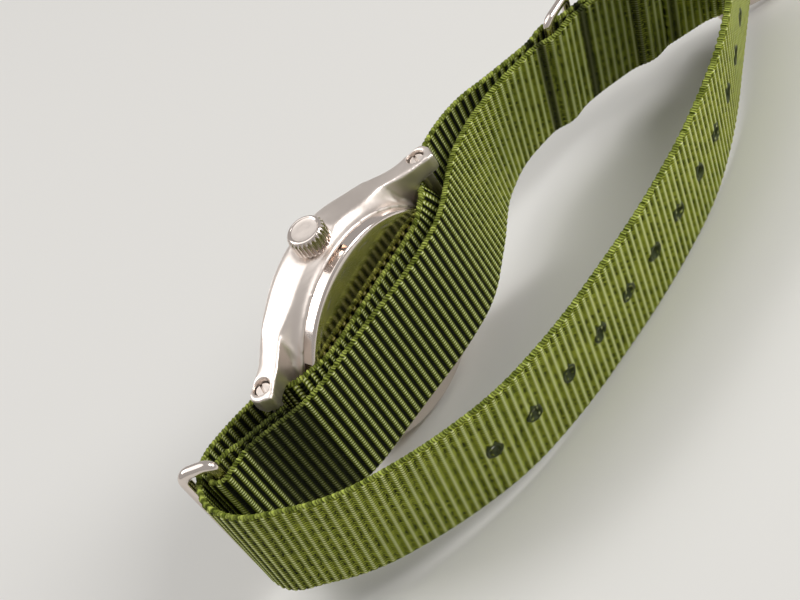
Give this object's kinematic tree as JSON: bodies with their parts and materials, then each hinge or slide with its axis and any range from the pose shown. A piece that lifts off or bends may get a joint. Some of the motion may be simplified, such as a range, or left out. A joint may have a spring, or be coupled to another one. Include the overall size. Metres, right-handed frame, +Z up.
{
  "type": "field watch on webbing strap",
  "caption": "Round steel field watch on a two-layer green webbing strap, closed in a loop, with buckle, free ring, keepers, crown and turning hands.",
  "frame": {"origin": "centre of the bounding box in plan, on the floor the watch lies on", "axes": "+X along the closed loop from the buckle towards the 6 o'clock side, +Z up, the crown pointing up and the dial facing -Y"},
  "size_m": [0.1326, 0.0428, 0.0404],
  "materials": {
    "satin_steel": "satin",
    "polished_steel": "polished",
    "crystal_glass": "clear",
    "dial_black": "matte",
    "pale_paint": "satin",
    "gilt_brass": "satin",
    "green_webbing": "ribbed weave"
  },
  "bodies": {
    "watch": {"mid_case": "satin_steel", "bezel": "polished_steel", "crystal": "crystal_glass", "dial": "dial_black", "hour_markers": "pale_paint", "movement": "gilt_brass", "crown_tube": "satin_steel", "case_back": "polished_steel", "strap_bars": "satin_steel", "lug_screws": "satin_steel", "long_strap": "green_webbing", "short_strap": "green_webbing", "buckle_pin": "polished_steel"},
    "stem": {"winding_stem": "satin_steel"},
    "crown_button": {"crown": "polished_steel"},
    "hour_pointer": {"hour_hand": "pale_paint", "hour_wheel": "gilt_brass"},
    "minute_pointer": {"minute_hand": "pale_paint", "cannon_pinion": "gilt_brass"},
    "second_pointer": {"second_hand": "pale_paint", "second_arbor": "satin_steel"},
    "ring": {"free_ring": "polished_steel"},
    "first_keeper": {"keeper_ring_1": "polished_steel"},
    "second_keeper": {"keeper_ring_2": "polished_steel"},
    "frame": {"buckle_frame": "polished_steel"},
    "tongue": {"buckle_tongue": "polished_steel"}
  },
  "joints": [
    {"name": "crown_pull", "type": "slide", "parent": "watch", "child": "stem", "axis": [0.0352, 0.128, 0.9911], "range_m": [0, 0.001]},
    {"name": "crown_turn", "type": "hinge", "parent": "stem", "child": "crown_button", "pos_m": [0.0277, -0.01084, 0.04012], "axis": [0.0352, 0.128, 0.9911], "continuous": true},
    {"name": "minute_turn", "type": "hinge", "parent": "watch", "child": "minute_pointer", "pos_m": [0.02695, -0.01699, 0.0191], "axis": [-0.0045, 0.9918, -0.1279], "continuous": true},
    {"name": "hour_turn", "type": "hinge", "parent": "watch", "child": "hour_pointer", "pos_m": [0.02695, -0.01659, 0.01905], "axis": [-0.0045, 0.9918, -0.1279], "continuous": true},
    {"name": "second_turn", "type": "hinge", "parent": "watch", "child": "second_pointer", "pos_m": [0.02695, -0.01738, 0.01915], "axis": [-0.0045, 0.9918, -0.1279], "continuous": true},
    {"name": "ring_swing", "type": "hinge", "parent": "watch", "child": "ring", "pos_m": [0.06001, -0.01272, 0.01737], "axis": [0.0352, 0.128, 0.9911], "range_deg": [-5, 5]},
    {"name": "first_keeper_swing", "type": "hinge", "parent": "watch", "child": "first_keeper", "pos_m": [-0.02311, -0.01127, 0.01826], "axis": [-0.0312, 0.3569, 0.9336], "range_deg": [0, 135]},
    {"name": "second_keeper_swing", "type": "hinge", "parent": "watch", "child": "second_keeper", "pos_m": [-0.03878, -0.00549, 0.01634], "axis": [-0.0312, 0.3569, 0.9336], "range_deg": [0, 75]},
    {"name": "frame_swing", "type": "hinge", "parent": "watch", "child": "frame", "pos_m": [-0.05277, 0.00098, 0.01424], "axis": [-0.0312, 0.3569, 0.9336], "range_deg": [-60, 0]},
    {"name": "tongue_swing", "type": "hinge", "parent": "watch", "child": "tongue", "pos_m": [-0.05277, 0.00098, 0.01424], "axis": [-0.0312, 0.3569, 0.9336], "range_deg": [0, 2]}
  ],
  "couplings": [
    {"joint": "hour_turn", "follows": "minute_turn", "ratio": 0.083333},
    {"joint": "second_turn", "follows": "minute_turn", "ratio": 60}
  ]
}
